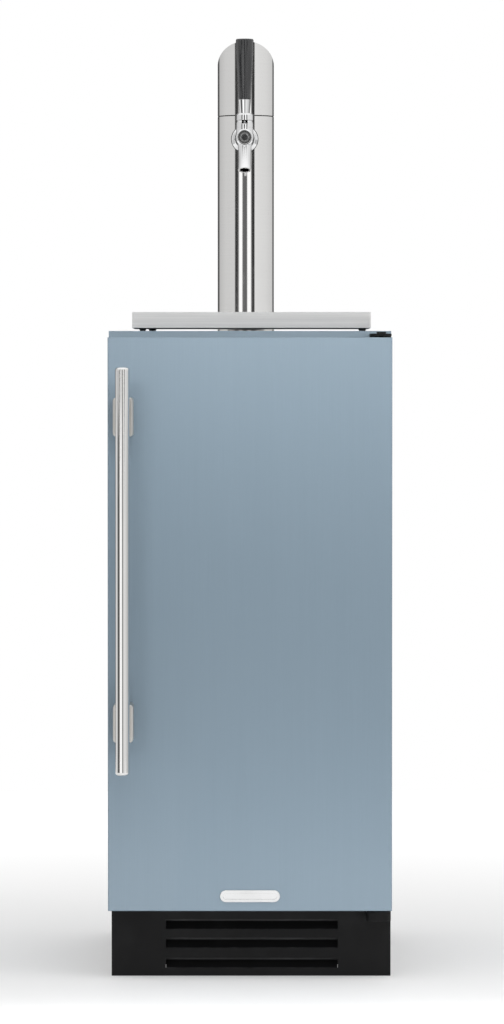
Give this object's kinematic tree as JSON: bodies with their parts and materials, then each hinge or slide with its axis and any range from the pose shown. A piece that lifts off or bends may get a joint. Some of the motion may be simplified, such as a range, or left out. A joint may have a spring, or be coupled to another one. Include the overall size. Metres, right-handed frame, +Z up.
{
  "type": "kegerator",
  "caption": "Slim undercounter beer dispenser: blue-grey door with a tall bar handle, slotted toe kick, drip tray and a round draft tower with a single black tap handle.",
  "frame": {"origin": "centre of the bounding box in plan, on the floor under the feet", "axes": "+X to the right as seen from the front, +Y to the back, +Z up; the door faces -Y"},
  "size_m": [0.378, 0.67, 1.2673],
  "materials": {
    "cabinet_paint": "satin blue-grey paint",
    "door_paint": "satin blue-grey paint with a fine vertical grain",
    "black_paint": "satin black powder coat",
    "bare_steel": "galvanised sheet",
    "chrome": "polished chrome",
    "brushed": "brushed stainless steel",
    "aluminium": "bare aluminium",
    "foam": "rigid foam",
    "liner": "satin white liner",
    "white_plastic": "white moulding",
    "black_plastic": "fine-textured black moulding",
    "gloss_black": "glossy black phenolic",
    "rubber": "black rubber",
    "gasket": "soft grey gasket",
    "copper": "copper tube",
    "brass": "turned brass",
    "clear_hose": "clear vinyl hose",
    "red_hose": "red vinyl hose"
  },
  "bodies": {
    "cabinet": {"side_panels": "cabinet_paint", "rear_panel": "bare_steel", "face_frame": "cabinet_paint", "top_panel": "cabinet_paint", "insulation": "foam", "bay_underpan": "bare_steel", "bay_liner": "liner", "base_pan": "black_paint", "rear_feet": "black_plastic", "toe_kick_grille": "black_paint", "door_hinges": "black_paint", "compressor": "black_paint", "condenser": "aluminium", "condenser_fan_shroud": "bare_steel", "fan_motors": "black_plastic", "refrigerant_pipes": "copper", "rear_service_cover": "bare_steel", "mains_inlet": "black_plastic", "evaporator_cover": "white_plastic", "evaporator_coil": "aluminium", "control_box": "black_plastic", "gas_cylinder": "aluminium", "cylinder_valve": "brass", "gas_regulator": "brass", "keg_coupler": "brushed", "wall_brackets": "bare_steel", "tower_column": "brushed", "tower_bolts": "chrome", "faucet_shank": "chrome", "shank_collar": "chrome", "coupling_nut": "chrome", "faucet_body": "chrome", "faucet_bonnet": "chrome", "beer_line": "clear_hose", "gas_line": "red_hose"},
    "door": {"door_skin": "door_paint", "door_insulation": "foam", "door_inner_panel": "liner", "door_gasket": "gasket", "door_hinge_bushes": "white_plastic", "door_handle_bar": "chrome", "door_handle_posts": "brushed", "door_badge": "chrome"},
    "foot_left": {"levelling_foot_left": "black_plastic"},
    "foot_right": {"levelling_foot_right": "black_plastic"},
    "condenser_fan": {"condenser_fan_blades": "black_plastic"},
    "evaporator_fan": {"evaporator_fan_blades": "black_plastic"},
    "button_colder": {"button_colder": "white_plastic"},
    "button_warmer": {"button_warmer": "white_plastic"},
    "handwheel": {"cylinder_handwheel": "black_plastic"},
    "regulator_knob": {"regulator_knob": "black_plastic"},
    "gas_shutoff": {"gas_shutoff_lever": "chrome"},
    "coupler_lever": {"coupler_lever": "black_plastic"},
    "tower_cap": {"tower_cap": "brushed"},
    "tap": {"faucet_lever": "chrome", "tap_handle": "gloss_black"},
    "plunger": {"faucet_plunger": "white_plastic"},
    "tray": {"drip_tray": "brushed", "tray_feet": "rubber"},
    "tray_grille": {"drip_grille": "brushed"}
  },
  "joints": [
    {"name": "door_swing", "type": "hinge", "parent": "cabinet", "child": "door", "pos_m": [0.175, -0.247, 0.5], "axis": [0, 0, 1], "range_deg": [0, 110]},
    {"name": "tap_pull", "type": "hinge", "parent": "cabinet", "child": "tap", "pos_m": [-0.0072, -0.072, 1.15], "axis": [1, 0, 0], "range_deg": [0, 25]},
    {"name": "plunger_slide", "type": "slide", "parent": "cabinet", "child": "plunger", "axis": [0, 1, 0], "range_m": [0, 0.0076]},
    {"name": "tower_cap_lift", "type": "slide", "parent": "cabinet", "child": "tower_cap", "axis": [0, 0, 1], "range_m": [0, 0.1]},
    {"name": "tray_lift", "type": "slide", "parent": "cabinet", "child": "tray", "axis": [0, 0, 1], "range_m": [0, 0.05]},
    {"name": "tray_grille_lift", "type": "slide", "parent": "tray", "child": "tray_grille", "axis": [0, 0, 1], "range_m": [0, 0.04]},
    {"name": "foot_left_screw", "type": "slide", "parent": "cabinet", "child": "foot_left", "axis": [0, 0, -1], "range_m": [0, 0.02]},
    {"name": "foot_right_screw", "type": "slide", "parent": "cabinet", "child": "foot_right", "axis": [0, 0, -1], "range_m": [0, 0.02]},
    {"name": "condenser_fan_spin", "type": "hinge", "parent": "cabinet", "child": "condenser_fan", "pos_m": [0.114, 0.241, 0.162], "axis": [1, 0, 0], "continuous": true},
    {"name": "evaporator_fan_spin", "type": "hinge", "parent": "cabinet", "child": "evaporator_fan", "pos_m": [0.085, 0.26, 0.69], "axis": [0, 1, 0], "continuous": true},
    {"name": "button_colder_press", "type": "slide", "parent": "cabinet", "child": "button_colder", "axis": [0, 1, 0], "range_m": [0, 0.0015], "stiffness_N_per_m": 300},
    {"name": "button_warmer_press", "type": "slide", "parent": "cabinet", "child": "button_warmer", "axis": [0, 1, 0], "range_m": [0, 0.0015], "stiffness_N_per_m": 300},
    {"name": "handwheel_turn", "type": "hinge", "parent": "cabinet", "child": "handwheel", "pos_m": [-0.078, 0.175, 0.76], "axis": [0, 0, 1], "range_deg": [0, 540]},
    {"name": "regulator_knob_turn", "type": "hinge", "parent": "cabinet", "child": "regulator_knob", "pos_m": [0, 0.136, 0.733], "axis": [0, -1, 0], "range_deg": [0, 540]},
    {"name": "gas_shutoff_turn", "type": "hinge", "parent": "cabinet", "child": "gas_shutoff", "pos_m": [0, 0.157, 0.7], "axis": [0, 1, 0], "range_deg": [0, 90]},
    {"name": "coupler_lever_swing", "type": "hinge", "parent": "cabinet", "child": "coupler_lever", "pos_m": [0.095, 0.15, 0.564], "axis": [1, 0, 0], "range_deg": [0, 25]}
  ],
  "couplings": [
    {"joint": "plunger_slide", "follows": "tap_pull", "m_per_rad": 0.0164}
  ]
}
